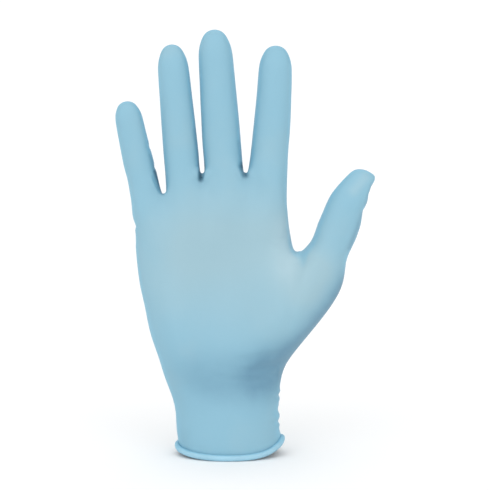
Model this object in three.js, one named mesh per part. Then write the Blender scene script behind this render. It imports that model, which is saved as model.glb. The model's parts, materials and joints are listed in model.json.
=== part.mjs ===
// A disposable exam glove, filled out: one dipped film, closed at the five fingertips, open at the
// wrist, and rolled outwards into a bead round the mouth. Millimetres, +Z up towards the fingertips.
// The palm faces -Y and the thumb points to +X. The origin is the middle of the wrist mouth.
//
// The skin is a net of four-sided faces, laid through cross-sections of the wrist, palm and fingers and
// then rounded by subdivision. The inner wall follows the outer one at the film's thickness.

import * as THREE from "three";

// Film and bead
const WALL = 1;
const BEAD_DIAMETER = 3.6;
const ROUGH = 0.55;
const NITRILE_BLUE = 0x97c4d6;

// Wrist and palm
const CUFF_LENGTH = 42; // mouth to wrist crease
const PALM_LENGTH = 102; // wrist crease to the finger roots
const WRIST_WIDTH = 58;
const WRIST_DEPTH = 40;
const PALM_WIDTH = 86;
const PALM_DEPTH = 29;
const MOUTH_DIP = 3.9; // how far the mouth hangs lower at the palm side
const MOUTH_LIFT = 4.2; // how far the mouth rises at the thumb side
const MOUTH_FLARE = 1.4; // how far the bead stands out at the thumb side
const MOUTH_BAND = 14; // how far up the cuff these three reach

// Fingers. The lengths, widths and depths of the four are shares of these three.
const FINGER_LENGTH = 76.2; // past the root, of the middle one
const FINGER_WIDTH = 22.2;
const FINGER_DEPTH = 21.2;
// From the little one: where the root's middle lies, as shares of PALM_WIDTH from the wrist's middle and
// of PALM_LENGTH above its crease, the splay in degrees towards the thumb, the length, width and depth,
// and how far the middle line bows towards the thumb as a share of the finger's length.
const FINGERS = [
  { across: -0.514, rise: 0.96, splay: -12.3, length: 0.702, width: 0.802, depth: 0.802, bow: -0.012 },
  { across: -0.282, rise: 1.05, splay: -4.9, length: 0.976, width: 0.91, depth: 0.925, bow: 0 },
  { across: -0.025, rise: 1.11, splay: -3.9, length: 1, width: 1, depth: 1, bow: 0 },
  { across: 0.2555, rise: 1.085, splay: 3.8, length: 0.919, width: 0.973, depth: 0.981, bow: 0.012 },
];
const FINGER_CURL = 4; // how far a fingertip leans to the palm side
const FINGER_FORWARD = 2.4; // how far a finger root's middle lies to the palm side
const WEB_GAP = 2; // between two fingers where they part

// One finger's sections from root to tip: shares of its length, width and depth.
const FINGER_SECTIONS = [
  { along: 0.16, width: 0.955, depth: 0.96 },
  { along: 0.3, width: 0.94, depth: 0.935 },
  { along: 0.46, width: 0.915, depth: 0.92 },
  { along: 0.62, width: 0.88, depth: 0.86 },
  { along: 0.77, width: 0.85, depth: 0.79 },
  { along: 0.885, width: 0.76, depth: 0.68 },
  { along: 0.963, width: 0.5, depth: 0.44 },
];
const FINGER_SQUARENESS = 2.2;

// How high the skin lies beside and between the roots, as shares of PALM_LENGTH above the wrist crease:
// the little finger's outer side, the three webs and the index finger's outer side.
const WEB_RISES = [0.9, 1.02, 1.125, 1.13, 1.0];
const WEB_SLOPE = 5; // how much lower a web lies at the glove's back than at its palm

// Thumb
const THUMB_LENGTH = 66;
const THUMB_WIDTH = 23.4;
const THUMB_DEPTH = 21;
const THUMB_FORWARD = 8; // how far its tip stands to the palm side of its root
const THUMB_ROOT = { across: 0.433, rise: 0.448 }; // shares of PALM_WIDTH and PALM_LENGTH
const THUMB_ROOT_FORWARD = 2.5; // how far it stands to the palm side of the wrist's middle
// Sections from the ball of the thumb to its tip: right and up are shares of THUMB_LENGTH from its root,
// turn is the section's tilt from the level in degrees, width and depth are shares of the thumb's own.
const THUMB_SECTIONS = [
  { right: 0.1, up: 0.029, turn: 76.8, width: 1.923, depth: 1.3 },
  { right: 0.218, up: 0.197, turn: 47.9, width: 1.415, depth: 1.16 },
  { right: 0.277, up: 0.325, turn: 26, width: 0.96, depth: 1.04 },
  { right: 0.338, up: 0.472, turn: 17, width: 0.97, depth: 0.98 },
  { right: 0.386, up: 0.614, turn: 17, width: 0.92, depth: 0.93 },
  { right: 0.424, up: 0.725, turn: 22, width: 0.865, depth: 0.85 },
  { right: 0.482, up: 0.827, turn: 27, width: 0.79, depth: 0.72 },
  { right: 0.56, up: 0.94, turn: 36, width: 0.62, depth: 0.5 },
];
const THUMB_TIP = { right: 0.62, up: 1 };

// Sections of the cuff, mouth first: rise is a share of CUFF_LENGTH, the sides are shares of WRIST_WIDTH
// to the little finger's side and the thumb's, and the faces are shares of WRIST_DEPTH.
const CUFF_SECTIONS = [
  { rise: 0.04, little: 0.475, thumb: 0.5, palm: 0.5, back: 0.5 },
  { rise: 0.24, little: 0.495, thumb: 0.495, palm: 0.495, back: 0.495 },
  { rise: 0.47, little: 0.505, thumb: 0.495, palm: 0.485, back: 0.485 },
  { rise: 0.7, little: 0.548, thumb: 0.498, palm: 0.47, back: 0.475 },
  { rise: 0.93, little: 0.61, thumb: 0.522, palm: 0.475, back: 0.465 },
];

// Sections of the palm, wrist first: rise is a share of PALM_LENGTH, sides are shares of PALM_WIDTH and
// faces of PALM_DEPTH. reach is where the net's last column before the thumb lies, and arch how much the
// section already takes of the finger roots' row: its arc, and by the square its thickness.
const PALM_SECTIONS = [
  { rise: 0.08, little: 0.45, thumb: 0.413, reach: 0.38, palm: 0.68, back: 0.6, arch: 0 },
  { rise: 0.215, little: 0.503, thumb: 0.58, reach: 0.405, palm: 0.62, back: 0.56, arch: 0 },
  { rise: 0.353, little: 0.535, thumb: 0.65, reach: 0.412, palm: 0.57, back: 0.53, arch: 0 },
  { rise: 0.49, little: 0.568, thumb: 0.6, reach: 0.412, palm: 0.53, back: 0.5, arch: 0.05 },
  { rise: 0.67, little: 0.589, thumb: 0.43, reach: 0.4, palm: 0.51, back: 0.48, arch: 0.15 },
  { rise: 0.745, little: 0.59, thumb: 0.408, reach: 0.388, palm: 0.5, back: 0.46, arch: 0.35 },
  { rise: 0.83, little: 0.591, thumb: 0.392, reach: 0.376, palm: 0.49, back: 0.44, arch: 0.6 },
  { rise: 0.91, little: 0.594, thumb: 0.383, reach: 0.368, palm: 0.475, back: 0.42, arch: 0.82 },
];
const THUMB_GAP_STEPS = 4; // bands of the palm, from its first section up, that the thumb grows out of

// Swellings and hollows of the film, raised from its palm and its back. across and rise are shares of
// PALM_WIDTH and PALM_LENGTH, and wide and tall are half-sizes in the same shares. turn leans the tall
// way towards the thumb in degrees, and lift is a share of PALM_DEPTH.
const PALM_RELIEF = [
  { name: "ball of the thumb", across: 0.37, rise: 0.37, wide: 0.21, tall: 0.31, turn: 33, lift: 0.33 },
  { name: "heel", across: -0.34, rise: 0.25, wide: 0.16, tall: 0.26, turn: -8, lift: 0.16 },
  { name: "hollow", across: -0.05, rise: 0.53, wide: 0.2, tall: 0.25, turn: 12, lift: -0.07 },
  { name: "wrist crease", across: 0.05, rise: -0.06, wide: 0.5, tall: 0.08, turn: 0, lift: -0.06 },
  { name: "little finger's pad", across: -0.46, rise: 0.79, wide: 0.1, tall: 0.12, turn: -10, lift: 0.04 },
  { name: "ring finger's pad", across: -0.26, rise: 0.85, wide: 0.11, tall: 0.13, turn: -4, lift: 0.05 },
  { name: "middle finger's pad", across: -0.01, rise: 0.88, wide: 0.11, tall: 0.13, turn: -3, lift: 0.05 },
  { name: "index finger's pad", across: 0.24, rise: 0.85, wide: 0.11, tall: 0.14, turn: 3, lift: 0.06 },
];
const BACK_RELIEF = [
  { name: "little knuckle", across: -0.45, rise: 0.7, wide: 0.09, tall: 0.1, turn: -10, lift: 0.08 },
  { name: "ring knuckle", across: -0.25, rise: 0.78, wide: 0.095, tall: 0.11, turn: -4, lift: 0.1 },
  { name: "middle knuckle", across: 0, rise: 0.81, wide: 0.1, tall: 0.11, turn: -3, lift: 0.13 },
  { name: "index knuckle", across: 0.24, rise: 0.79, wide: 0.1, tall: 0.11, turn: 3, lift: 0.12 },
];

// How the net is laid: a finger's ring starts at its side towards the little finger and goes round by
// its palm side, and a ring of the wrist or palm goes the same way.
const FACE_POINTS = 3; // on a finger's palm side, and on its back: two corners and the middle
const FINGER_SIDES = 2 * FACE_POINTS + 2;
const SIDE_LEFT = 0;
const SIDE_RIGHT = FACE_POINTS + 1;
const FRONT_COLUMNS = FACE_POINTS * FINGERS.length;
const RING_SIZE = 2 * FRONT_COLUMNS + 2;
const THUMB_EDGE = FRONT_COLUMNS + 1;

const EDGE_SHARE = 0.967; // where a section's first column lies on its half-width
const WRIST_SQUARENESS = 2.1;
const PALM_SQUARENESS = 2.8;
const MOUTH_CORNER = 5; // how tightly the lift and flare keep to the thumb side
const CURL_POWER = 1.6; // how late along a finger its curl sets in
const FIT_ROUNDS = 4;
const BEAD_STEPS = 8;

const creaseHeight = CUFF_LENGTH;
const radians = THREE.MathUtils.degToRad;
const lerp = THREE.MathUtils.lerp;
const clamp = THREE.MathUtils.clamp;

// A rounded box's outline: how far a face stands out at a place across, both as shares of their half-sizes.
function bulge(across, squareness) {
  return (1 - Math.min(Math.abs(across), 1) ** squareness) ** (1 / squareness);
}

// Cosine or sine pushed outwards, so that a ring of them is a rounded square.
function pushed(value, squareness) {
  return Math.sign(value) * Math.abs(value) ** (2 / squareness);
}

class Net {
  constructor() {
    this.points = [];
    this.faces = [];
  }

  add(point) {
    return this.points.push(point) - 1;
  }

  // Joins two rings of the same count with four-sided faces that look outwards.
  band(lower, upper) {
    lower.forEach((_, k) => {
      const next = (k + 1) % lower.length;
      this.faces.push([lower[k], lower[next], upper[next], upper[k]]);
    });
  }

  // Closes a ring of even count with faces round one middle point.
  cap(ring, middle) {
    for (let k = 0; k < ring.length; k += 2) {
      const before = ring[(k + ring.length - 1) % ring.length];
      this.faces.push([middle, before, ring[k], ring[k + 1]]);
    }
  }
}

// The ring of a tube's section: from its left side round its palm side. side and front are unit vectors.
function tubeRing(net, middle, side, front, width, depth, count, squareness) {
  return Array.from({ length: count }, (_, k) => {
    const turn = (2 * Math.PI * k) / count;
    const point = middle.clone();
    point.addScaledVector(side, (-pushed(Math.cos(turn), squareness) * width) / 2);
    point.addScaledVector(front, (pushed(Math.sin(turn), squareness) * depth) / 2);
    return net.add(point);
  });
}

function fingerRoot(finger) {
  return new THREE.Vector3(
    finger.across * PALM_WIDTH,
    -FINGER_FORWARD,
    creaseHeight + finger.rise * PALM_LENGTH,
  );
}

// A point on the line through a finger's middle, which leans and bows a little.
function fingerMiddle(finger, along) {
  const splay = radians(finger.splay);
  const length = finger.length * FINGER_LENGTH;
  const reach = along * length;
  const bow = finger.bow * length * 4 * along * (1 - along);
  return fingerRoot(finger).add(
    new THREE.Vector3(
      reach * Math.sin(splay) + bow * Math.cos(splay),
      -FINGER_CURL * along ** CURL_POWER,
      reach * Math.cos(splay) - bow * Math.sin(splay),
    ),
  );
}

function fingerSection(net, finger, { along, width, depth }) {
  const step = 0.01;
  const ahead = fingerMiddle(finger, along + step).sub(fingerMiddle(finger, along - step)).normalize();
  const side = new THREE.Vector3(0, 1, 0).cross(ahead).normalize();
  const front = side.clone().cross(ahead).normalize();
  const middle = fingerMiddle(finger, along);
  const sizes = [width * finger.width * FINGER_WIDTH, depth * finger.depth * FINGER_DEPTH];
  return tubeRing(net, middle, side, front, ...sizes, FINGER_SIDES, FINGER_SQUARENESS);
}

function growFinger(net, finger, root) {
  let lower = root;
  for (const section of FINGER_SECTIONS) {
    const ring = fingerSection(net, finger, section);
    net.band(lower, ring);
    lower = ring;
  }
  net.cap(lower, net.add(fingerMiddle(finger, 1)));
}

const webHeights = WEB_RISES.map((rise) => creaseHeight + rise * PALM_LENGTH);

// How far the sides of neighbouring roots are moved in to leave the gap between them.
function rootSides(place) {
  const half = (k) => (FINGERS[k].width * FINGER_WIDTH) / 2;
  const side = (k, sign) => FINGERS[k].across * PALM_WIDTH + sign * half(k);
  const parting = (k) => (side(k, 1) + side(k + 1, -1)) / 2;
  const left = place > 0 ? parting(place - 1) + WEB_GAP / 2 : side(place, -1);
  const right = place + 1 < FINGERS.length ? parting(place) - WEB_GAP / 2 : side(place, 1);
  return { left, right };
}

// A finger root's ring as eight points: the two outer ones lie on the webs beside it.
function rootPoints(finger, place) {
  const { left, right } = rootSides(place);
  return Array.from({ length: FINGER_SIDES }, (_, k) => {
    const turn = (2 * Math.PI * k) / FINGER_SIDES;
    const share = (1 - pushed(Math.cos(turn), PALM_SQUARENESS)) / 2;
    const forward = pushed(Math.sin(turn), PALM_SQUARENESS);
    const web = lerp(webHeights[place], webHeights[place + 1], share);
    return new THREE.Vector3(
      lerp(left, right, share),
      fingerRoot(finger).y - (forward * finger.depth * FINGER_DEPTH) / 2,
      web - (WEB_SLOPE * (1 - forward)) / 2,
    );
  });
}

const roots = FINGERS.map(rootPoints);

// The top ring of the palm holds every root's palm-side points, then its back points in return.
function rootRow() {
  const front = roots.flatMap((root) => root.slice(SIDE_LEFT + 1, SIDE_RIGHT));
  const back = roots.toReversed().flatMap((root) => root.slice(SIDE_RIGHT + 1));
  return [roots[0][SIDE_LEFT], ...front, roots.at(-1)[SIDE_RIGHT], ...back];
}

const topRow = rootRow();
const arcMiddle = creaseHeight + PALM_LENGTH;

// Columns of the net across the palm, as shares from its little finger's side: set by the finger roots
// at the top, and even round the wrist.
const rootColumns = topRow
  .slice(1, THUMB_EDGE)
  .map((point, _, row) => (point.x - row[0].x) / (row.at(-1).x - row[0].x));
const evenColumns = rootColumns.map((_, k) => {
  const first = Math.PI / (2 * FRONT_COLUMNS);
  const turn = lerp(first, Math.PI - first, k / (FRONT_COLUMNS - 1));
  return (Math.cos(first) - Math.cos(turn)) / (2 * Math.cos(first));
});

// One ring of the wrist or palm. sides holds its reach to each side and face in millimetres.
function sectionRing(net, sides) {
  const { little, thumb, reach, palm, back, squareness, even, heightAt, arch } = sides;
  const half = (little + thumb) / 2;
  const middle = (thumb - little) / 2;
  const start = middle - half * EDGE_SHARE;
  const place = (column, facing) => {
    const share = lerp(rootColumns[column], evenColumns[column], even);
    const x = lerp(start, reach, share);
    const out = bulge((x - middle) / half, squareness);
    return new THREE.Vector3(x, facing * (facing < 0 ? palm : back) * out, heightAt(column + 1, facing));
  };
  const columns = Array.from({ length: FRONT_COLUMNS }, (_, k) => k);
  const ring = [
    new THREE.Vector3(-little, 0, heightAt(0, 0)),
    ...columns.map((k) => place(k, -1)),
    new THREE.Vector3(thumb, 0, heightAt(THUMB_EDGE, 0)),
    ...columns.toReversed().map((k) => place(k, 1)),
  ];
  ring.forEach((point, k) => (point.y = lerp(point.y, topRow[k].y, arch ** 2)));
  return ring.map((point) => net.add(point));
}

function cuffRing(net, section) {
  return sectionRing(net, {
    little: section.little * WRIST_WIDTH,
    thumb: section.thumb * WRIST_WIDTH,
    reach: section.thumb * WRIST_WIDTH * EDGE_SHARE,
    palm: section.palm * WRIST_DEPTH,
    back: section.back * WRIST_DEPTH,
    squareness: WRIST_SQUARENESS,
    even: 1,
    arch: 0,
    heightAt: () => section.rise * CUFF_LENGTH,
  });
}

function palmRing(net, section) {
  const level = creaseHeight + section.rise * PALM_LENGTH;
  const arch = (place, facing) => topRow[facing > 0 ? RING_SIZE - place : place].z - arcMiddle;
  return sectionRing(net, {
    little: section.little * PALM_WIDTH,
    thumb: section.thumb * PALM_WIDTH,
    reach: section.reach * PALM_WIDTH,
    palm: section.palm * PALM_DEPTH,
    back: section.back * PALM_DEPTH,
    squareness: lerp(WRIST_SQUARENESS, PALM_SQUARENESS, Math.min(section.rise * 2, 1)),
    even: 1 - section.rise,
    arch: section.arch,
    heightAt: (place, facing) => level + section.arch * arch(place, facing),
  });
}

function thumbRings(net) {
  const root = new THREE.Vector3(
    THUMB_ROOT.across * PALM_WIDTH,
    -THUMB_ROOT_FORWARD,
    creaseHeight + THUMB_ROOT.rise * PALM_LENGTH,
  );
  const at = ({ right, up }) =>
    root.clone().add(new THREE.Vector3(right * THUMB_LENGTH, -THUMB_FORWARD * up, up * THUMB_LENGTH));
  const sides = 2 * THUMB_GAP_STEPS + 4;
  const rings = THUMB_SECTIONS.map((section) => {
    const turn = radians(section.turn);
    const outer = new THREE.Vector3(Math.cos(turn), 0, -Math.sin(turn));
    const front = new THREE.Vector3(0, -1, 0);
    const sizes = [section.width * THUMB_WIDTH, section.depth * THUMB_DEPTH];
    return tubeRing(net, at(section), outer, front, ...sizes, sides, FINGER_SQUARENESS);
  });
  return { rings, tip: net.add(at(THUMB_TIP)) };
}

// The edge of the gap that the thumb grows from: crotch, palm side downwards, wrist, back upwards.
function holeEdge(rings) {
  const beside = rings.slice(0, THUMB_GAP_STEPS + 1);
  return [
    beside.at(-1)[THUMB_EDGE],
    ...beside.toReversed().map((ring) => ring[THUMB_EDGE - 1]),
    beside[0][THUMB_EDGE],
    ...beside.map((ring) => ring[THUMB_EDGE + 1]),
  ];
}

function buildNet() {
  const net = new Net();
  const cuff = CUFF_SECTIONS.map((section) => cuffRing(net, section));
  const palm = PALM_SECTIONS.map((section) => palmRing(net, section));
  const top = topRow.map((point) => net.add(point));
  const rings = [...cuff, ...palm, top];
  const gap = { from: cuff.length, to: cuff.length + THUMB_GAP_STEPS };
  rings.slice(1).forEach((upper, row) => {
    const start = net.faces.length;
    net.band(rings[row], upper);
    if (row >= gap.from && row < gap.to) net.faces.splice(start + THUMB_EDGE - 1, 2);
  });

  const { rings: thumb, tip } = thumbRings(net);
  [holeEdge(palm), ...thumb].forEach((lower, k, all) => {
    if (k + 1 < all.length) net.band(lower, all[k + 1]);
    else net.cap(lower, tip);
  });

  // Each root takes its palm and back points from the top ring, and has side points of its own in the webs.
  const last = FINGERS.length - 1;
  const ringOfRoot = FINGERS.map((_, k) => {
    const passed = FACE_POINTS * k;
    const front = top.slice(1 + passed, 1 + passed + FACE_POINTS);
    const back = top.slice(RING_SIZE - passed - FACE_POINTS, RING_SIZE - passed);
    const left = k === 0 ? top[0] : net.add(roots[k][SIDE_LEFT].clone());
    const right = k === last ? top[THUMB_EDGE] : net.add(roots[k][SIDE_RIGHT].clone());
    return [left, ...front, right, ...back];
  });
  ringOfRoot.slice(1).forEach((next, k) => {
    const here = ringOfRoot[k];
    const [side, other] = [here[SIDE_RIGHT], next[SIDE_LEFT]];
    net.faces.push([here[SIDE_RIGHT - 1], next[SIDE_LEFT + 1], other, side]);
    net.faces.push([side, other, next.at(-1), here[SIDE_RIGHT + 1]]);
  });
  FINGERS.forEach((finger, k) => growFinger(net, finger, ringOfRoot[k]));
  return withoutStrays(net);
}

// Drops the points that no face uses, which the thumb's gap leaves.
function withoutStrays({ points, faces }) {
  const used = [...new Set(faces.flat())].sort((a, b) => a - b);
  const place = new Map(used.map((v, k) => [v, k]));
  const made = new Net();
  made.points = used.map((v) => points[v]);
  made.faces = faces.map((face) => face.map((v) => place.get(v)));
  return made;
}

// What lies round each point of a net: its neighbours along edges, the far corners of its faces, and
// for a point on the open edge its two neighbours along it.
function surroundings({ points, faces }) {
  const edges = new Map();
  const near = points.map(() => ({ faces: [], across: [], along: new Set(), rim: [] }));
  faces.forEach((face, f) => {
    face.forEach((a, k) => {
      const b = face[(k + 1) % face.length];
      const key = a < b ? `${a}_${b}` : `${b}_${a}`;
      if (!edges.has(key)) edges.set(key, { a, b, faces: [] });
      edges.get(key).faces.push(f);
      near[a].along.add(b);
      near[b].along.add(a);
      near[a].faces.push(f);
      near[a].across.push(face[(k + 2) % face.length]);
    });
  });
  for (const { a, b, faces: sides } of edges.values()) {
    if (sides.length > 1) continue;
    near[a].rim.push(b);
    near[b].rim.push(a);
  }
  return { edges, near };
}

function average(points) {
  const sum = points.reduce((total, p) => total.add(p), new THREE.Vector3());
  return sum.divideScalar(points.length);
}

// One round of Catmull-Clark subdivision.
function refined(net) {
  const { points, faces } = net;
  const { edges, near } = surroundings(net);
  const faceMiddles = faces.map((face) => average(face.map((v) => points[v])));
  const moved = points.map((point, v) => {
    const { faces: around, along, rim } = near[v];
    if (rim.length) return average(rim.map((w) => points[w])).lerp(point, 0.75);
    const n = around.length;
    const middles = average(around.map((f) => faceMiddles[f]));
    const halfway = average([...along].map((w) => points[w])).add(point).divideScalar(2);
    return middles.addScaledVector(halfway, 2).addScaledVector(point, n - 3).divideScalar(n);
  });
  const made = new Net();
  made.points = [...moved, ...faceMiddles];
  const middleOf = new Map();
  for (const [key, { a, b, faces: sides }] of edges) {
    const ends = [points[a], points[b]];
    const around = sides.length > 1 ? sides.map((f) => faceMiddles[f]) : [];
    middleOf.set(key, made.add(average([...ends, ...around])));
  }
  const middle = (a, b) => middleOf.get(a < b ? `${a}_${b}` : `${b}_${a}`);
  faces.forEach((face, f) => {
    face.forEach((v, k) => {
      const before = face[(k + face.length - 1) % face.length];
      const after = face[(k + 1) % face.length];
      made.faces.push([v, middle(v, after), points.length + f, middle(before, v)]);
    });
  });
  return made;
}

// Where endless subdivision would take each point.
function limitOf(net) {
  const { near } = surroundings(net);
  return net.points.map((point, v) => {
    const { along, across, rim } = near[v];
    if (rim.length) return average(rim.map((w) => net.points[w])).lerp(point, 2 / 3);
    const n = across.length;
    const sum = point.clone().multiplyScalar(n * n);
    for (const w of along) sum.addScaledVector(net.points[w], 4);
    for (const w of across) sum.add(net.points[w]);
    return sum.divideScalar(n * (n + 5));
  });
}

// Moves a net's points out until its rounded surface passes through where they stood.
function fitted(net) {
  const wanted = net.points;
  const made = new Net();
  made.faces = net.faces;
  made.points = wanted.map((p) => p.clone());
  for (let round = 0; round < FIT_ROUNDS; round++) {
    const reached = limitOf(made);
    made.points = made.points.map((p, v) => p.add(wanted[v]).sub(reached[v]));
  }
  return made;
}

function normalsOf({ points, faces }) {
  const normals = points.map(() => new THREE.Vector3());
  for (const face of faces) {
    const [a, b, c, d] = face.map((v) => points[v]);
    const normal = c.clone().sub(a).cross(d.clone().sub(b));
    for (const v of face) normals[v].add(normal);
  }
  return normals.map((n) => n.normalize());
}

// Raises swellings on the faces that look a way: -1 for the palm's and 1 for the back's.
function raiseRelief(net, swellings, facing) {
  const normals = normalsOf(net);
  for (const { across, rise, wide, tall, turn, lift } of swellings) {
    const lean = radians(turn);
    net.points.forEach((p, v) => {
      const x = p.x - across * PALM_WIDTH;
      const z = p.z - creaseHeight - rise * PALM_LENGTH;
      const sideways = (x * Math.cos(lean) - z * Math.sin(lean)) / (wide * PALM_WIDTH);
      const upwards = (x * Math.sin(lean) + z * Math.cos(lean)) / (tall * PALM_LENGTH);
      const towards = Math.sqrt(Math.max(facing * normals[v].y, 0));
      p.y += facing * lift * PALM_DEPTH * towards * Math.exp(-(sideways ** 2) - upwards ** 2);
    });
  }
}

// The points round the open edge, in order, starting from any of them.
function rimOf(net) {
  const { near } = surroundings(net);
  const start = near.findIndex(({ rim }) => rim.length);
  const loop = [start];
  for (let next = near[start].rim[0]; next !== start; ) {
    loop.push(next);
    const [a, b] = near[next].rim;
    next = a === loop.at(-2) ? b : a;
  }
  const ring = loop.map((v) => net.points[v]);
  const area = THREE.ShapeUtils.area(ring);
  return area < 0 ? loop.reverse() : loop;
}

// Bends the lowest band of the cuff, so that its edge dips to the palm and lifts and flares to the thumb.
function shapeMouth(points) {
  for (const p of points) {
    if (p.z > MOUTH_BAND) continue;
    const share = 1 - Math.max(p.z, 0) / MOUTH_BAND;
    const towardsPalm = clamp((-2 * p.y) / WRIST_DEPTH, 0, 1);
    const towardsThumb = clamp((2 * p.x) / WRIST_WIDTH, 0, 1) ** MOUTH_CORNER;
    const out = new THREE.Vector2(p.x, p.y).setLength(MOUTH_FLARE * towardsThumb * share ** 3);
    p.x += out.x;
    p.y += out.y;
    p.z += (MOUTH_LIFT * towardsThumb - MOUTH_DIP * towardsPalm) * share;
  }
}

// The closed solid: outer wall, rolled bead and inner wall.
function shellOf(outer) {
  const normals = normalsOf(outer);
  const count = outer.points.length;
  const shell = new Net();
  const inner = outer.points.map((point, v) => point.clone().addScaledVector(normals[v], -WALL));
  shell.points = [...outer.points, ...inner];
  shell.faces = [...outer.faces, ...outer.faces.map((face) => face.map((v) => v + count).reverse())];

  const rim = rimOf(outer);
  const radius = BEAD_DIAMETER / 2;
  const outset = radius - WALL; // the roll's inner side is flush with the inner wall
  const start = Math.acos(-outset / radius);
  let upper = rim;
  for (let step = 1; step <= BEAD_STEPS; step++) {
    const turn = lerp(start, -Math.PI, step / BEAD_STEPS);
    const ring = rim.map((v) => {
      const edge = outer.points[v];
      const out = normals[v].clone().setZ(0).normalize();
      const point = edge.clone().addScaledVector(out, outset + radius * Math.cos(turn));
      point.z += radius * (Math.sin(turn) - Math.sin(start));
      return shell.add(point);
    });
    shell.band(ring, upper);
    upper = ring;
  }
  shell.band(
    rim.map((v) => v + count),
    upper,
  );
  return shell;
}

function geometryOf({ points, faces }) {
  const geometry = new THREE.BufferGeometry().setFromPoints(points);
  geometry.setIndex(faces.flatMap(([a, b, c, d]) => [a, b, c, a, c, d]));
  geometry.computeVertexNormals();
  return geometry;
}

function gloveGeometry() {
  const fine = refined(fitted(buildNet()));
  fine.points = limitOf(fine);
  raiseRelief(fine, PALM_RELIEF, -1);
  raiseRelief(fine, BACK_RELIEF, 1);
  shapeMouth(fine.points);
  return geometryOf(shellOf(fine));
}

const film = new THREE.MeshStandardMaterial({ color: NITRILE_BLUE, roughness: ROUGH, metalness: 0 });
const glove = new THREE.Mesh(gloveGeometry(), film);
glove.name = "glove_film";

const part = new THREE.Group();
part.add(glove);

export default part;
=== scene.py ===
import json
import math

import bpy
import numpy as np
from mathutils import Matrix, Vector

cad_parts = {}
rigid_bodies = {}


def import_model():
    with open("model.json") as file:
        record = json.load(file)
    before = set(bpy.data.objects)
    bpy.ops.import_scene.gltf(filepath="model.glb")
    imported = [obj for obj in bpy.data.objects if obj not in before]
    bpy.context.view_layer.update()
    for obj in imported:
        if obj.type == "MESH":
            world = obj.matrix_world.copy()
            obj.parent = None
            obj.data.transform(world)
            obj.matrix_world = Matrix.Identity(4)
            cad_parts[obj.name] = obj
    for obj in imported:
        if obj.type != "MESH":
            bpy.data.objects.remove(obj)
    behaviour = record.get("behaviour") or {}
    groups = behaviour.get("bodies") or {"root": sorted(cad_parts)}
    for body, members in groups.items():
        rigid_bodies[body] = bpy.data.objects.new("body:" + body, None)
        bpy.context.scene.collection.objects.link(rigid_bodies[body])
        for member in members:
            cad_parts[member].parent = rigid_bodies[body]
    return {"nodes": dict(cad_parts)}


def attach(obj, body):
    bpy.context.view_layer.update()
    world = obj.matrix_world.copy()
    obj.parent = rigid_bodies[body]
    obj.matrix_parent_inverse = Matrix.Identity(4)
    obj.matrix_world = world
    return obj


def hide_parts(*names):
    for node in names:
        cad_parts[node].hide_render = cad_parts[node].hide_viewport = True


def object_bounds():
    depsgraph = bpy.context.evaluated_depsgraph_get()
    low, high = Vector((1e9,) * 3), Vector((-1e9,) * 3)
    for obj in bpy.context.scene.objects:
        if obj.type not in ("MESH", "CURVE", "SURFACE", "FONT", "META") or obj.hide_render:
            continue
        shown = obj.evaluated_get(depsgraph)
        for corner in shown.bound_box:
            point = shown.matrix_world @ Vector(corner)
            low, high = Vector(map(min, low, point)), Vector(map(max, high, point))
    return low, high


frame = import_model()
cad_low, cad_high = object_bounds()

MM = 0.001

# The film's skin
FILM_THICKNESS = 0.35 * MM
RIM_TUCK = 1.6 * MM  # how far the film runs down into the bead
RIM_IN = 0.3 * MM  # how far the roll draws it in
MOUTH_TOP = 8 * MM  # the rim's sharp edge lies below this
MERGE_REACH = 0.01 * MM
SHARP_EDGE = math.radians(60)
FINER_LEVELS = 2
FIT_ROUNDS = 3  # how often the finer skin is drawn back onto the points it had

# Dents: how fast one comes in as the film turns towards its side
CREASE_FACING = 2
HOLLOW_FACING = 1.6
LIP_RISE = 0.45  # of a crease's depth
LIP_PLACE = 1.9  # from the crease's middle, in its widths
CREASE_END = 0.7  # lower is blunter
EDGE_START = 0.55  # how far sideways the film faces where an outline dent starts
EDGE_BLEND = 0.4
EDGE_REACH = 9  # millimetres across, over which an outline dent fades
RELAX_STEP = 0.5

# The rolled bead
BEAD_RADIUS = 1.7 * MM
BEAD_OUTSET = 0.5 * MM  # from the film's outer face to the middle of the roll
BEAD_DROP = 1.6 * MM  # from the rim down to the middle of the roll
BEAD_ROUND = 5  # how finely the roll is rounded

# Camera
TARGET = Vector((9.7 * MM, 0, 112.5 * MM))
CAMERA_DISTANCE = 1000 * MM
CAMERA_ELEVATION = math.radians(6)
PICTURE_WIDTH = 271.8 * MM  # seen at the target
SENSOR = 36  # millimetres across


def only(piece):
    """Makes a piece the one that operators act on."""
    bpy.ops.object.select_all(action="DESELECT")
    piece.select_set(True)
    bpy.context.view_layer.objects.active = piece


def edit(piece, kind="FACE"):
    only(piece)
    bpy.ops.object.mode_set(mode="EDIT")
    bpy.ops.mesh.select_mode(type=kind)
    bpy.ops.mesh.select_all(action="DESELECT")


def leave():
    bpy.ops.object.mode_set(mode="OBJECT")


def finish_with(piece, kind, **settings):
    """Adds a modifier and applies it."""
    only(piece)
    modifier = piece.modifiers.new(kind.title(), kind)
    for name, value in settings.items():
        setattr(modifier, name, value)
    bpy.ops.object.modifier_apply(modifier=modifier.name)


def points_of(piece):
    co = np.empty(len(piece.data.vertices) * 3)
    piece.data.vertices.foreach_get("co", co)
    return co.reshape(-1, 3)


def normals_of(piece):
    out = np.empty(len(piece.data.vertices) * 3, np.float32)
    piece.data.vertex_normals.foreach_get("vector", out)
    return out.reshape(-1, 3).astype(float)


def place_points(piece, co):
    piece.data.vertices.foreach_set("co", co.ravel())
    piece.data.update()


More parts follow.
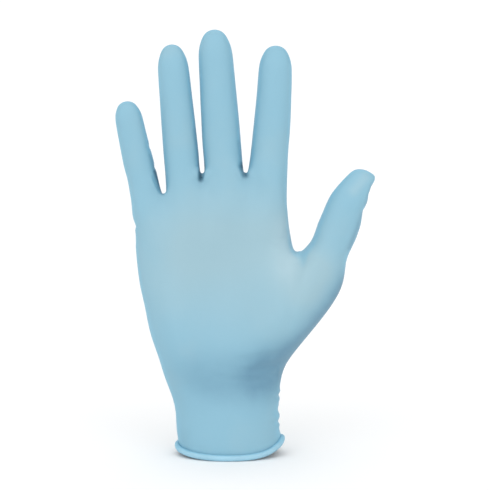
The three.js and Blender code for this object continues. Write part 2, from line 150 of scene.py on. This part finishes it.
# The film: the node's outer wall alone, as four-sided faces, made finer
def outer_skin():
    mesh = frame["nodes"]["glove_film"].data.copy()
    skin = bpy.data.objects.new("film", mesh)
    bpy.context.scene.collection.objects.link(skin)
    edit(skin)
    bpy.ops.mesh.select_all(action="SELECT")
    bpy.ops.mesh.remove_doubles(threshold=MERGE_REACH)
    bpy.ops.mesh.tris_convert_to_quads(face_threshold=math.pi, shape_threshold=math.pi)
    bpy.ops.mesh.select_mode(type="EDGE")
    bpy.ops.mesh.select_all(action="DESELECT")
    bpy.ops.mesh.edges_select_sharp(sharpness=SHARP_EDGE)
    leave()
    for edge in mesh.edges:
        ends = [mesh.vertices[v].co.z for v in edge.vertices]
        edge.select = edge.select and max(ends) < MOUTH_TOP
    bpy.ops.object.mode_set(mode="EDIT")
    bpy.ops.mesh.mark_seam(clear=False)
    bpy.ops.mesh.select_mode(type="FACE")
    bpy.ops.mesh.select_all(action="DESELECT")
    leave()
    max(mesh.polygons, key=lambda face: face.center.z).select = True
    bpy.ops.object.mode_set(mode="EDIT")
    bpy.ops.mesh.select_linked(delimit={"SEAM"})
    bpy.ops.mesh.select_all(action="INVERT")
    bpy.ops.mesh.delete(type="FACE")
    leave()
    return skin


def made_finer(piece, levels):
    """Subdivides a piece so that its rounded surface still passes through the points it had."""
    wanted = points_of(piece)
    trial = piece.modifiers.new("finer", "SUBSURF")
    trial.levels = trial.render_levels = levels
    for _ in range(FIT_ROUNDS):
        graph = bpy.context.evaluated_depsgraph_get()
        reached = points_of(piece.evaluated_get(graph))[: len(wanted)]
        place_points(piece, points_of(piece) + wanted - reached)
    only(piece)
    bpy.ops.object.modifier_apply(modifier=trial.name)


film = outer_skin()
made_finer(film, FINER_LEVELS)


# Dents and folds. A place is across and up, in millimetres, as the palm is looked at.
def smooth(share):
    share = np.clip(share, 0, 1)
    return share * share * (3 - 2 * share)


def hump(distance, width):
    return np.exp(-((distance / width) ** 2))


def along_path(co, path):
    """How far each point lies from a path of places, and how far along it, from 0 to 1."""
    flat = co[:, [0, 2]] / MM
    path = np.array(path, float)
    steps = np.linalg.norm(np.diff(path, axis=0), axis=1)
    marks = np.concatenate([[0], np.cumsum(steps)]) / steps.sum()
    best = np.full(len(flat), 1e9)
    share = np.zeros(len(flat))
    for start, end, low, high in zip(path, path[1:], marks, marks[1:]):
        way = end - start
        t = np.clip((flat - start) @ way / (way @ way), 0, 1)
        far = np.linalg.norm(flat - start - t[:, None] * way, axis=1)
        nearer = far < best
        best[nearer] = far[nearer]
        share[nearer] = (low + t * (high - low))[nearer]
    return best, share


def press_folds(piece, folds):
    """Presses creases into the film, each with a soft lip on both sides."""
    co, normals = points_of(piece), normals_of(piece)
    lift = np.zeros(len(co))
    for fold in folds:
        away, share = along_path(co, fold["path"])
        facing = smooth(fold["face"] * normals[:, 1] * CREASE_FACING)
        taper = np.clip(4 * share * (1 - share), 0, 1) ** CREASE_END
        lip = LIP_RISE * hump(away - LIP_PLACE * fold["wide"], fold["wide"])
        groove = hump(away, fold["wide"]) - lip
        lift -= fold["deep"] * MM * groove * taper * facing
    place_points(piece, co + normals * lift[:, None])


def press_edge(piece, dents):
    """Small crumples in the outline: rises and dips on one side of the film at a height."""
    co, normals = points_of(piece), normals_of(piece)
    lift = np.zeros(len(co))
    for dent in dents:
        near = hump(co[:, 2] / MM - dent["up"] - dent["slant"] * co[:, 1] / MM, dent["tall"])
        side = smooth((normals[:, 0] * dent["side"] - EDGE_START) / EDGE_BLEND)
        beside = hump(co[:, 0] / MM - dent["across"], EDGE_REACH)
        lift += dent["out"] * MM * near * side * beside
    place_points(piece, co + normals * lift[:, None])


WRIST_CRUMPLES = [
    {"across": 28, "up": up, "out": out, "tall": tall, "side": 1, "slant": slant}
    for up, out, tall, slant in (
        (30.6, 0.55, 1.3, 0.05),
        (28.6, -0.45, 1.1, 0.02),
        (26.2, 0.5, 1.2, -0.04),
        (20.2, -0.5, 2.2, 0.06),
        (16.7, 0.6, 1.3, 0.03),
        (13.2, -0.45, 1.2, -0.02),
        (11.4, 0.5, 1.1, -0.06),
    )
]
EDGE_CRUMPLES = WRIST_CRUMPLES + [
    {"across": -50.8, "up": 123.4, "out": -0.3, "tall": 1.2, "side": -1, "slant": 0.1},
    {"across": -50.8, "up": 121.2, "out": 0.22, "tall": 1.2, "side": -1, "slant": 0.1},
    {"across": -53.5, "up": 136.0, "out": -0.7, "tall": 7.0, "side": -1, "slant": 0},
    {"across": -43.9, "up": 167.0, "out": -0.4, "tall": 1.3, "side": 1, "slant": 0},
    {"across": -40.7, "up": 156.0, "out": -0.45, "tall": 1.5, "side": 1, "slant": 0},
    {"across": 80.0, "up": 151.0, "out": 1.05, "tall": 2.6, "side": 1, "slant": 0},
    {"across": 79.0, "up": 143.5, "out": -1.7, "tall": 4.5, "side": 1, "slant": 0},
    {"across": 74.8, "up": 132.3, "out": -0.4, "tall": 1.7, "side": 1, "slant": 0},
    {"across": 73.5, "up": 125.0, "out": 0.35, "tall": 4.0, "side": 1, "slant": 0},
]
# Creases: face is -1 on the palm's side and 1 on the back's; wide and deep are in millimetres.
FOLDS = [
    {"path": [(-13.6, 156), (-14.2, 152), (-14.7, 148.5)], "face": -1, "wide": 1.3, "deep": 2.6},
    {"path": [(7.3, 158), (9, 154.5), (10.1, 150.5)], "face": -1, "wide": 1.4, "deep": 2.0},
    {"path": [(-40.6, 152), (-38.4, 147), (-35.8, 141.5)], "face": -1, "wide": 1.0, "deep": 0.8},
    {"path": [(34, 54), (20, 54), (4, 51)], "face": -1, "wide": 1.6, "deep": 0.4},
    {"path": [(30, 41), (14, 39), (-8, 42)], "face": -1, "wide": 1.5, "deep": 0.3},
    {"path": [(27, 47), (17, 45), (7, 46)], "face": -1, "wide": 1.4, "deep": 0.35},
    {"path": [(39, 108), (31, 112), (22, 114)], "face": -1, "wide": 1.3, "deep": 0.16},
    {"path": [(40, 105), (33, 104), (27, 100)], "face": -1, "wide": 1.3, "deep": 0.14},
    {"path": [(-24, 46), (0, 43), (26, 47)], "face": 1, "wide": 1.8, "deep": 0.5},
    {"path": [(-21, 52), (2, 50), (22, 54)], "face": 1, "wide": 1.6, "deep": 0.3},
    {"path": [(40, 108), (30, 103), (22, 93)], "face": 1, "wide": 2.0, "deep": 0.35},
]
# Hollows where the film sinks in, and low swells: out is negative for a hollow.
HOLLOWS = [
    {"name": "wrist, thumb's side", "across": 23, "up": 45, "wide": 12, "tall": 8, "face": -1, "out": -2.4},
    {"name": "wrist", "across": -2, "up": 48, "wide": 20, "tall": 7, "face": -1, "out": -0.8},
    {"name": "little finger's root", "across": -44, "up": 131, "wide": 7, "tall": 8, "face": -1, "out": 0.3},
    {"name": "back of the wrist", "across": 0, "up": 47, "wide": 24, "tall": 6, "face": 1, "out": -0.8},
]


def press_hollows(piece, hollows):
    co, normals = points_of(piece), normals_of(piece)
    lift = np.zeros(len(co))
    for hollow in hollows:
        sideways = (co[:, 0] / MM - hollow["across"]) / hollow["wide"]
        upwards = (co[:, 2] / MM - hollow["up"]) / hollow["tall"]
        facing = smooth(hollow["face"] * normals[:, 1] * HOLLOW_FACING)
        lift += hollow["out"] * MM * facing * np.exp(-(sideways**2) - upwards**2)
    place_points(piece, co + normals * lift[:, None])


# Between the fingers, and between the index finger and the thumb: down is how far the web is drawn down
WEBS = [
    {"name": "little and ring", "across": -35.8, "up": 144, "wide": 5, "tall": 9, "down": 2.2},
    {"name": "ring and middle", "across": -13.8, "up": 154.5, "wide": 1.9, "tall": 8, "down": 1.9},
    {"name": "middle and index", "across": 10.3, "up": 154.5, "wide": 4.5, "tall": 8, "down": 1.7},
    {"name": "index and thumb", "across": 40.8, "up": 111, "wide": 3.1, "tall": 8, "down": 3.2},
]
THUMB_WEB = {"across": 41, "up": 116, "wide": 11, "tall": 12, "rounds": 24}


def draw_down(piece, webs):
    co = points_of(piece)
    for web in webs:
        sideways = hump(co[:, 0] / MM - web["across"], web["wide"])
        co[:, 2] -= web["down"] * MM * sideways * hump(co[:, 2] / MM - web["up"], web["tall"])
    place_points(piece, co)


def relax(piece, place):
    """Smooths the film round a place."""
    co = points_of(piece) / MM
    sideways = (co[:, 0] - place["across"]) / place["wide"]
    upwards = (co[:, 2] - place["up"]) / place["tall"]
    edit(piece, "VERT")
    leave()
    piece.data.vertices.foreach_set("select", sideways**2 + upwards**2 < 1)
    bpy.ops.object.mode_set(mode="EDIT")
    bpy.ops.mesh.vertices_smooth(factor=RELAX_STEP, repeat=place["rounds"])
    leave()


relax(film, THUMB_WEB)
draw_down(film, WEBS)
press_hollows(film, HOLLOWS)
press_folds(film, FOLDS)
press_edge(film, EDGE_CRUMPLES)
only(film)
bpy.ops.object.shade_smooth()


# The bead: the rim's own loop, moved to the middle of the roll and given its round section
def pick_rim(piece):
    """Goes into edit mode with the film's open edge selected."""
    edit(piece, "EDGE")
    others = ("use_wire", "use_multi_face", "use_non_contiguous", "use_verts")
    bpy.ops.mesh.select_non_manifold(extend=False, use_boundary=True, **dict.fromkeys(others, False))


def rim_loop(piece):
    pick_rim(piece)
    leave()
    return np.array([v.select for v in piece.data.vertices])


def rolled_bead(piece):
    rim = rim_loop(piece)
    normals = normals_of(piece)
    normals[:, 2] = 0
    normals /= np.linalg.norm(normals, axis=1)[:, None]
    middle = points_of(piece) + normals * BEAD_OUTSET - [0, 0, BEAD_DROP]
    places = {v: tuple(middle[v]) for v in np.flatnonzero(rim)}
    edges = [e.vertices[:] for e in piece.data.edges if rim[e.vertices[0]] and rim[e.vertices[1]]]
    order = {v: k for k, v in enumerate(places)}
    mesh = bpy.data.meshes.new("rolled_bead")
    mesh.from_pydata(list(places.values()), [(order[a], order[b]) for a, b in edges], [])
    bead = bpy.data.objects.new("rolled_bead", mesh)
    bpy.context.scene.collection.objects.link(bead)
    only(bead)
    bpy.ops.object.convert(target="CURVE")
    bead = bpy.context.object
    bead.data.bevel_depth = BEAD_RADIUS
    bead.data.bevel_resolution = BEAD_ROUND
    only(bead)
    bpy.ops.object.convert(target="MESH")
    return bpy.context.object


bead = rolled_bead(film)
only(bead)
bpy.ops.object.shade_smooth()

rim = rim_loop(film)
inwards = normals_of(film) * [1, 1, 0]
place_points(film, points_of(film) - inwards * (RIM_IN * rim)[:, None])
pick_rim(film)
bpy.ops.mesh.extrude_edges_move(TRANSFORM_OT_translate={"value": (0, 0, -RIM_TUCK)})
leave()
finish_with(film, "SOLIDIFY", thickness=FILM_THICKNESS, offset=-1)


# Finishes
class Wire:
    """A shader socket that can be used in sums."""

    def __init__(self, finish, socket):
        self.finish, self.socket = finish, socket

    def __add__(self, other):
        return self.finish.math("ADD", self, other)

    def __sub__(self, other):
        return self.finish.math("SUBTRACT", self, other)

    def __rsub__(self, other):
        return self.finish.math("SUBTRACT", other, self)

    def __mul__(self, other):
        return self.finish.math("MULTIPLY", self, other)

    __radd__ = __add__
    __rmul__ = __mul__


class Finish:
    """A material or a sky being mixed."""

    def __init__(self, owner):
        owner.use_nodes = True
        self.owner = owner
        self.tree = owner.node_tree
        self.tree.nodes.clear()

    def node(self, kind, settings=(), values=(), out=0):
        made = self.tree.nodes.new(kind)
        for name, value in dict(settings).items():
            setattr(made, name, value)
        for socket, value in dict(values).items():
            if isinstance(value, Wire):
                self.tree.links.new(value.socket, made.inputs[socket])
            else:
                made.inputs[socket].default_value = value
        return Wire(self, made.outputs[out]) if made.outputs else None

    def math(self, operation, *values):
        return self.node("ShaderNodeMath", {"operation": operation}, enumerate(values))

    def between(self, value, low, high):
        """0 where the value is low, 1 where it is high, and smooth in between."""
        return self.node(
            "ShaderNodeMapRange",
            {"interpolation_type": "SMOOTHSTEP"},
            {0: value, 1: low, 2: high, 3: 0, 4: 1},
        )

    def mix(self, share, first, second):
        return self.node("ShaderNodeMix", {"data_type": "RGBA"}, {0: share, 6: first, 7: second}, out=2)

    def grain(self, cells, detail=2.0):
        """A noise that lies about 0, from -0.5 to 0.5, with so many cells a metre."""
        spot = self.node("ShaderNodeTexCoord", out="Object")
        return self.node("ShaderNodeTexNoise", (), {"Vector": spot, "Scale": cells, "Detail": detail}) - 0.5

    def bump(self, height, distance, strength, under=None):
        values = {"Height": height, "Distance": distance, "Strength": strength}
        if under:
            values["Normal"] = under
        return self.node("ShaderNodeBump", (), values)


def colour(red, green, blue):
    """A screen colour, 0 to 255, as the shader wants it."""
    share = [c / 255 for c in (red, green, blue)]
    linear = [c / 12.92 if c <= 0.04045 else ((c + 0.055) / 1.055) ** 2.4 for c in share]
    return (*linear, 1)


# How the film's tone changes over the glove, palm side, painted to match how it is lit: painted light on the
# palm and the ball of the thumb, partly film paled by stretching; painted highlights at the thumb's web and
# tip, partly thinner film;
# painted shade under the ball of the thumb, across the wrist, along shaded edges and in the webs; darker
# painted shade in the creases between the fingers. A patch lies along a path and fades over its width.
TONES = [
    # Painted light on the palm and the ball of the thumb, partly film paled by stretching
    {"kind": "stretched_and_painted_light", "path": [(-16, 118), (26, 118)], "wide": 24, "share": 1.0},
    {"kind": "stretched_and_painted_light", "path": [(50, 100), (44, 92)], "wide": 11, "share": 0.9},
    {"kind": "stretched_and_painted_light", "path": [(-26, 92), (28, 80)], "wide": 24, "share": 0.5},
    # Painted highlights at the thumb's web and at the thumb's tip, partly thinner film
    {"kind": "thin_and_painted_highlight", "path": [(34, 122), (33, 102)], "wide": 8.5, "share": 1.0},
    {"kind": "thin_and_painted_highlight", "path": [(75, 151), (69, 144)], "wide": 3, "share": 0.4},
    # Painted shade under the ball of the thumb, across the wrist, along the thumb's and fingers' shaded
    # edges, in the webs and at the cuff's left end
    {"kind": "painted_shade", "path": [(19, 43), (31, 44)], "wide": 11, "share": 0.82},
    {"kind": "painted_shade", "path": [(24, 54), (33, 57)], "wide": 7, "share": 0.35},
    {"kind": "painted_shade", "path": [(-14, 43), (14, 41)], "wide": 15, "share": 0.4},
    {"kind": "painted_shade", "path": [(67, 94), (58, 80), (36, 54)], "wide": 6, "share": 1.1},
    {"kind": "painted_shade", "path": [(-10, 33), (25, 32)], "wide": 7, "share": 0.22},
    {"kind": "painted_shade", "path": [(79, 146.5), (76, 135.5)], "wide": 1.3, "share": 0.5},
    {"kind": "painted_shade", "path": [(74, 131), (71.2, 123), (67, 112)], "wide": 1.6, "share": 0.55},
    {"kind": "painted_shade", "path": [(-18.1, 176.5), (-17, 167), (-15.5, 157)], "wide": 0.9, "share": 0.45},
    {"kind": "painted_shade", "path": [(-42.6, 163), (-40, 154.5), (-36, 142)], "wide": 0.9, "share": 0.5},
    {"kind": "painted_shade", "path": [(6.1, 170), (6.6, 165), (7.8, 158)], "wide": 0.9, "share": 0.4},
    {"kind": "painted_shade", "path": [(-38.5, 144.5), (-36, 141)], "wide": 3.5, "share": 0.2},
    {"kind": "painted_shade", "path": [(-14.5, 153), (-14.6, 148)], "wide": 3.5, "share": 0.25},
    {"kind": "painted_shade", "path": [(8.3, 155), (9.8, 151)], "wide": 3.5, "share": 0.3},
    {"kind": "painted_shade", "path": [(-24, 2), (-23.5, 8)], "wide": 3.5, "share": 0.1},
    # Darker painted shade in the creases below the webs between the fingers
    {"kind": "painted_crease_shade", "path": [(-14.4, 155), (-14.7, 149.5)], "wide": 1.1, "share": 1.15},
    {"kind": "painted_crease_shade", "path": [(8.2, 157), (9.9, 152)], "wide": 1.4, "share": 0.9},
    {"kind": "painted_crease_shade", "path": [(-39.9, 154), (-37.9, 148), (-35.3, 142)], "wide": 0.8, "share": 0.85},
]
TONE_KINDS = ("stretched_and_painted_light", "thin_and_painted_highlight", "painted_shade", "painted_crease_shade")
ROUND_THE_BACK = 0.15  # how much of a tone reaches the back
AT_THE_SIDE = 0.5  # where the change from palm to back has come to at the sides
BACK_FALL = 1.6  # how fast a tone fades towards the back


def tone_film(piece):
    """Keeps the film's painted light and shade on the mesh, as tones from 0 to 1."""
    co, normals = points_of(piece), normals_of(piece)
    facing = ROUND_THE_BACK + (1 - ROUND_THE_BACK) * smooth(AT_THE_SIDE - BACK_FALL * normals[:, 1])
    for kind in TONE_KINDS:
        total = np.zeros(len(co))
        for tone in TONES:
            if tone["kind"] != kind:
                continue
            away, _ = along_path(co, tone["path"])
            total += tone["share"] * hump(away, tone["wide"])
        kept = piece.data.attributes.new(kind, "FLOAT", "POINT")
        kept.data.foreach_set("value", np.clip(total * facing, 0, 1))


BLUE = colour(128, 173, 192)
# Painted light, partly film paled by stretching; also the colour of the random paler clouds
PALE_FILM_AND_PAINTED_LIGHT = colour(143, 176, 188)
# Painted highlight, partly thinner film
THIN_FILM_AND_PAINTED_HIGHLIGHT = colour(157, 185, 195)
# Painted shade
PAINTED_SHADE = colour(98, 141, 164)
# Darker painted shade for the creases
PAINTED_CREASE_SHADE = colour(50, 92, 114)
# Painted edge tint: film turned away from the front is painted bluer, standing in for film seen edge-on
PAINTED_EDGE_TINT = colour(115, 183, 211)
ROLLED = colour(151, 194, 213)

# Patterns on the film, in cells a metre, and how strong they are. A range is the part of a noise,
# which lies about 0, over which a pattern comes in.
BEAD_CLOUDS = 90
BEAD_CLOUD_RANGE = (-0.2, 0.2)
BEAD_CLOUD_SHARE = 0.3
CLOUDS = 34
CLOUD_RANGE = (-0.05, 0.3)
CLOUD_SHARE = 0.34
MOTTLE = 150
MOTTLE_SHARE = 0.5
# Painted edge tint: how far the film turns from the front before it is painted bluer
EDGE_TINT_TURN = (0.02, 0.5)  # the side's tone fades between these, the normal's front share squared
EDGE_TINT_SHARE = 0.45
FINE = 2400
PEBBLE = 900
PEBBLE_SHARE = 0.7
FINE_HEIGHT = 0.03 * MM
FINE_STRENGTH = 0.6
WAVES = 110
WAVE_HEIGHT = 0.35 * MM
WAVE_STRENGTH = 0.35
SHINE = 60
SHINE_CHANGE = 0.12
ROUGHNESS = 0.5
GLOSS = 0.4
SHEEN = 0.05
SHEEN_ROUGHNESS = 0.4


def film_finish(name, toned=True):
    made = Finish(bpy.data.materials.new(name))
    if toned:
        shares = {}
        for kind in TONE_KINDS:
            shares[kind] = made.node("ShaderNodeAttribute", {"attribute_name": kind}, out=2)
        # Painted light on the palm, partly film paled by stretching
        tone = made.mix(shares["stretched_and_painted_light"], BLUE, PALE_FILM_AND_PAINTED_LIGHT)
        # Painted highlights, partly thinner film
        tone = made.mix(shares["thin_and_painted_highlight"], tone, THIN_FILM_AND_PAINTED_HIGHLIGHT)
    else:
        cloud = made.between(made.grain(BEAD_CLOUDS), *BEAD_CLOUD_RANGE)
        tone = made.mix(cloud * BEAD_CLOUD_SHARE, ROLLED, BLUE)
    # Random paler clouds, in the same colour as the painted light
    cloud = made.between(made.grain(CLOUDS, detail=4), *CLOUD_RANGE)
    tone = made.mix(cloud * CLOUD_SHARE, tone, PALE_FILM_AND_PAINTED_LIGHT)
    # Painted edge tint: where the film turns away from the front, towards its sides, it is painted bluer,
    # standing in for film seen edge-on
    normal = made.node("ShaderNodeNewGeometry", out="Normal")
    forwards = made.node("ShaderNodeSeparateXYZ", (), {0: normal}, out=1)
    side = 1 - made.between(forwards * forwards, *EDGE_TINT_TURN)
    tone = made.mix(side * EDGE_TINT_SHARE, tone, PAINTED_EDGE_TINT)
    if toned:
        # Painted shade, broken up by a random mottle
        mottle = 1 + MOTTLE_SHARE * made.grain(MOTTLE, detail=3)
        tone = made.mix(shares["painted_shade"] * mottle, tone, PAINTED_SHADE)
        # Darker painted shade in the creases between the fingers
        tone = made.mix(shares["painted_crease_shade"], tone, PAINTED_CREASE_SHADE)
    texture = made.grain(FINE) + PEBBLE_SHARE * made.grain(PEBBLE, detail=1)
    under = made.bump(texture, FINE_HEIGHT, FINE_STRENGTH)
    under = made.bump(made.grain(WAVES, detail=3), WAVE_HEIGHT, WAVE_STRENGTH, under)
    roughness = ROUGHNESS + SHINE_CHANGE * made.grain(SHINE)
    looks = {
        "Base Color": tone,
        "Roughness": roughness,
        "Normal": under,
        "Specular IOR Level": GLOSS,
        "Sheen Weight": SHEEN,
        "Sheen Roughness": SHEEN_ROUGHNESS,
    }
    surface = made.node("ShaderNodeBsdfPrincipled", (), looks)
    made.node("ShaderNodeOutputMaterial", (), {"Surface": surface})
    return made.owner


tone_film(film)
for piece in (film, bead):
    piece.data.materials.clear()
    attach(piece, "root")
film.data.materials.append(film_finish("pale_blue_nitrile"))
bead.data.materials.append(film_finish("rolled_nitrile", toned=False))
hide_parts("glove_film")

# Floor, light and camera
FLOOR_REACH = 400  # metres, so that its far edge isn't seen
FLOOR_WHITE = 0.95
FLOOR_ROUGHNESS = 0.9
bpy.ops.mesh.primitive_plane_add(size=2 * FLOOR_REACH, location=(0, 0, cad_low.z))
floor = bpy.context.object
floor.name = "floor"
pale = Finish(bpy.data.materials.new("pale_floor"))
white = (FLOOR_WHITE, FLOOR_WHITE, FLOOR_WHITE, 1)
paper = pale.node("ShaderNodeBsdfPrincipled", (), {"Base Color": white, "Roughness": FLOOR_ROUGHNESS})
pale.node("ShaderNodeOutputMaterial", (), {"Surface": paper})
floor.data.materials.append(pale.owner)

BACKDROP_LIGHT = 1.0  # the white wall behind
CEILING_LIGHT = 0.18  # above it
WALL_TOP = (0.1, 0.35)  # the heights between which the wall turns into the ceiling
WALL_SIDES = (-0.1, 0.15)  # how far back the wall starts, and is whole
SOFTBOX_EDGE = 0.5  # the cosine of the turn from a light's middle to its edge
# Soft lights: degrees round from the front towards +X, degrees up, and how bright the middle is
SOFTBOXES = [
    {"name": "front", "round": 0, "up": 12, "light": 1.27},
    {"name": "left", "round": -55, "up": 15, "light": 1.14},
    {"name": "right", "round": 55, "up": 15, "light": 0.99},
    {"name": "above", "round": 0, "up": 86, "light": 0.84},
    {"name": "above behind", "round": 180, "up": 55, "light": 0.6},
]


def studio_sky():
    sky = Finish(bpy.data.worlds.new("studio"))
    way = sky.node("ShaderNodeTexCoord", out="Generated")
    y = sky.node("ShaderNodeSeparateXYZ", (), {0: way}, out=1)
    z = sky.node("ShaderNodeSeparateXYZ", (), {0: way}, out=2)
    wall = BACKDROP_LIGHT + sky.between(z, *WALL_TOP) * (CEILING_LIGHT - BACKDROP_LIGHT)
    light = sky.between(y, *WALL_SIDES) * wall
    for box in SOFTBOXES:
        turn, up = math.radians(box["round"]), math.radians(box["up"])
        middle = (math.sin(turn) * math.cos(up), -math.cos(turn) * math.cos(up), math.sin(up))
        towards = sky.node("ShaderNodeVectorMath", {"operation": "DOT_PRODUCT"}, {0: way, 1: middle}, out=1)
        light += sky.between(towards, SOFTBOX_EDGE, 1) * box["light"]
    shine = sky.node("ShaderNodeBackground", (), {"Color": (1, 1, 1, 1), "Strength": light})
    sky.node("ShaderNodeOutputWorld", (), {"Surface": shine})
    return sky.owner


camera_data = bpy.data.cameras.new("camera")
camera = bpy.data.objects.new("camera", camera_data)
bpy.context.scene.collection.objects.link(camera)
back = Vector((0, -math.cos(CAMERA_ELEVATION), math.sin(CAMERA_ELEVATION)))
camera.location = TARGET + back * CAMERA_DISTANCE
camera.rotation_euler = back.to_track_quat("Z", "Y").to_euler()
camera_data.sensor_width = SENSOR
camera_data.lens = SENSOR * CAMERA_DISTANCE / PICTURE_WIDTH
camera_data.clip_end = 5 * FLOOR_REACH
bpy.context.scene.camera = camera

bpy.context.scene.world = studio_sky()
bpy.context.scene.view_settings.view_transform = "Standard"
